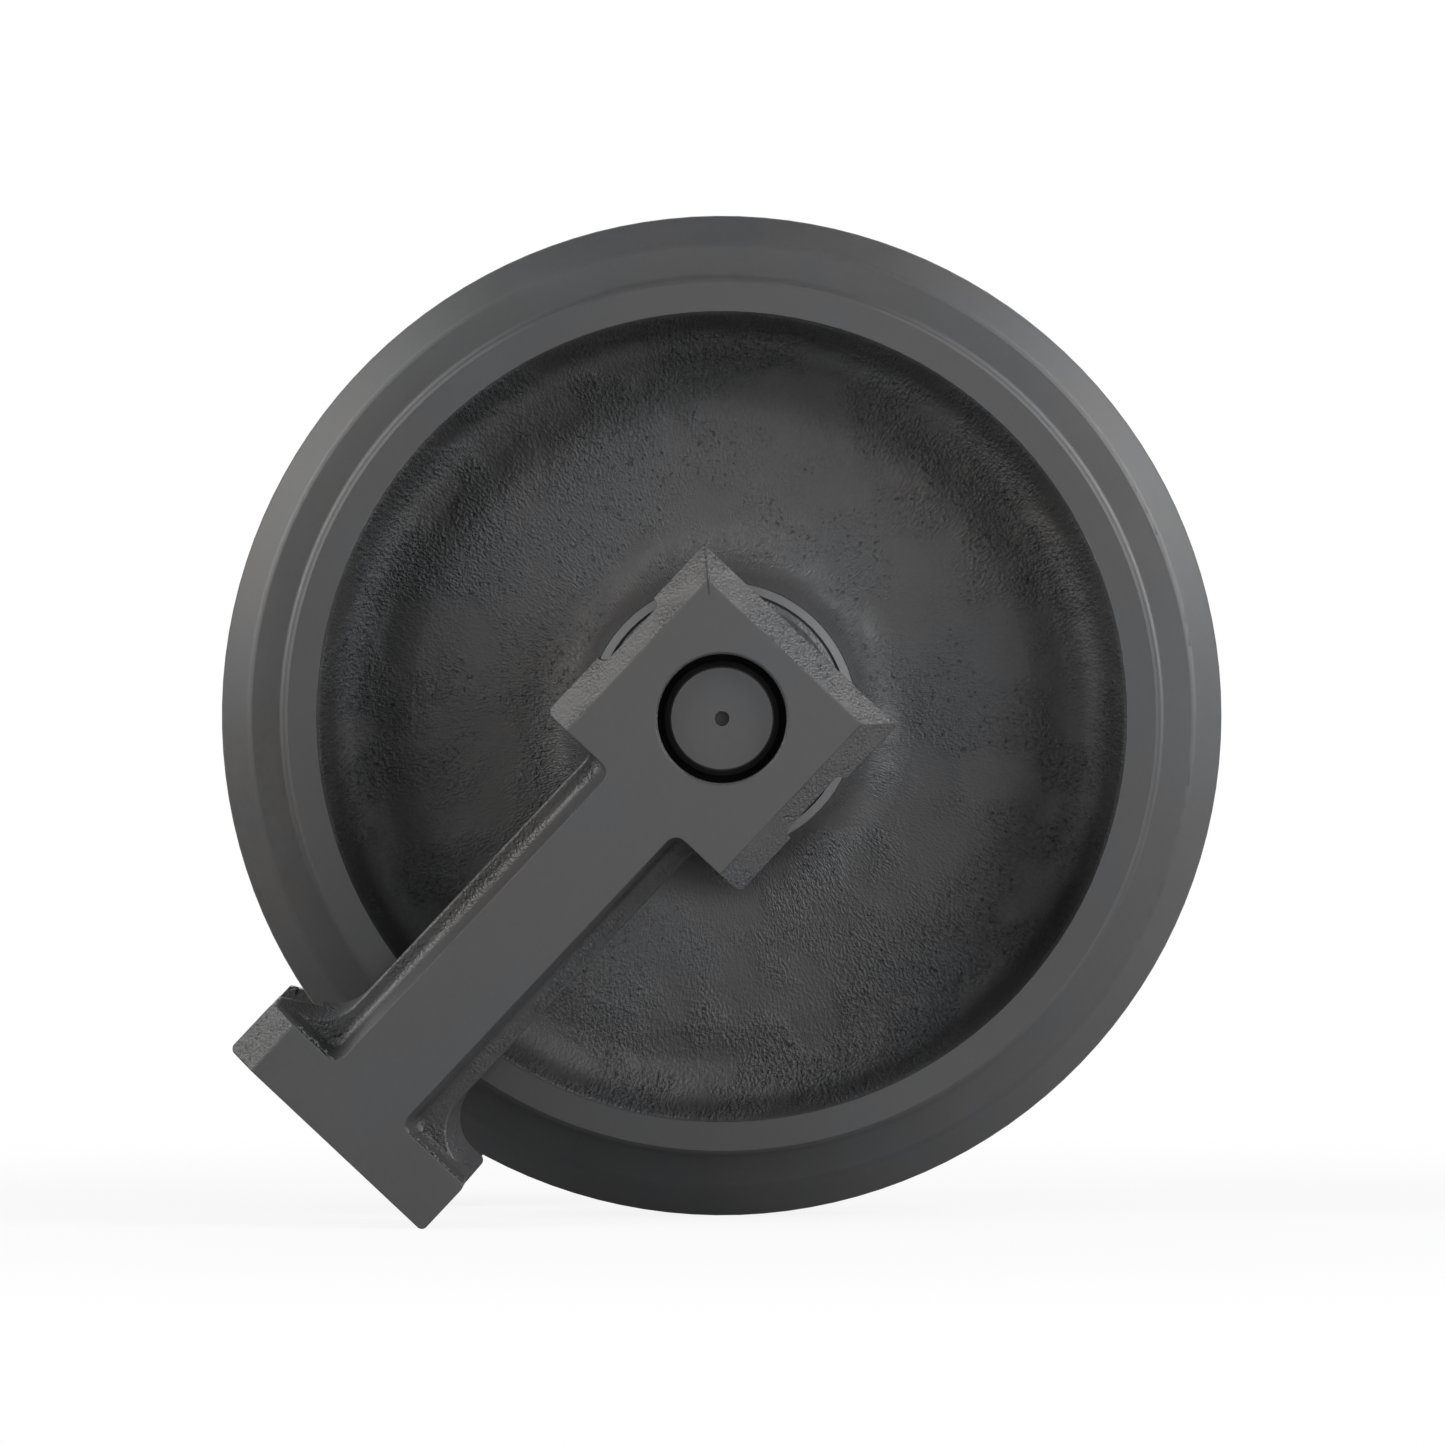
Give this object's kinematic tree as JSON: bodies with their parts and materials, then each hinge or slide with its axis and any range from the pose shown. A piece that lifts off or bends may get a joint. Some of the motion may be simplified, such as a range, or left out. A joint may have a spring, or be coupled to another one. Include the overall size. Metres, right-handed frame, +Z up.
{
  "type": "track front idler",
  "caption": "Front idler for a crawler track: a cast wheel with a guide flange, turning on a fixed shaft held by a bracket with an arm at each end.",
  "frame": {"origin": "the wheel's centre, on the axle", "axes": "+Y along the axle to the left side, +Z up, +X forwards; the arms point back and down and their ends stand on the same floor as the flange"},
  "size_m": [0.3999, 0.23, 0.4],
  "materials": {
    "painted_casting": "satin",
    "shaft_steel": "ground",
    "bush_bronze": "machined",
    "seal_rubber": "matte",
    "zinc_steel": "zinc plated",
    "soft_washer": "matte"
  },
  "bodies": {
    "carrier": {"shaft": "shaft_steel", "bracket_left": "painted_casting", "bracket_right": "painted_casting", "seal_ring_fixed_left": "shaft_steel", "seal_ring_fixed_right": "shaft_steel", "rubber_ring_fixed_left": "seal_rubber", "rubber_ring_fixed_right": "seal_rubber", "shaft_ring_left": "seal_rubber", "shaft_ring_right": "seal_rubber", "lock_pin_left": "shaft_steel", "lock_pin_right": "shaft_steel", "oil_plug": "zinc_steel", "plug_washer": "soft_washer"},
    "wheel": {"idler_wheel": "painted_casting", "bush_left": "bush_bronze", "bush_right": "bush_bronze", "seal_ring_turning_left": "shaft_steel", "seal_ring_turning_right": "shaft_steel", "rubber_ring_turning_left": "seal_rubber", "rubber_ring_turning_right": "seal_rubber"}
  },
  "joints": [
    {"name": "wheel_spin", "type": "hinge", "parent": "carrier", "child": "wheel", "pos_m": [0, 0, 0], "axis": [0, 1, 0], "continuous": true}
  ]
}
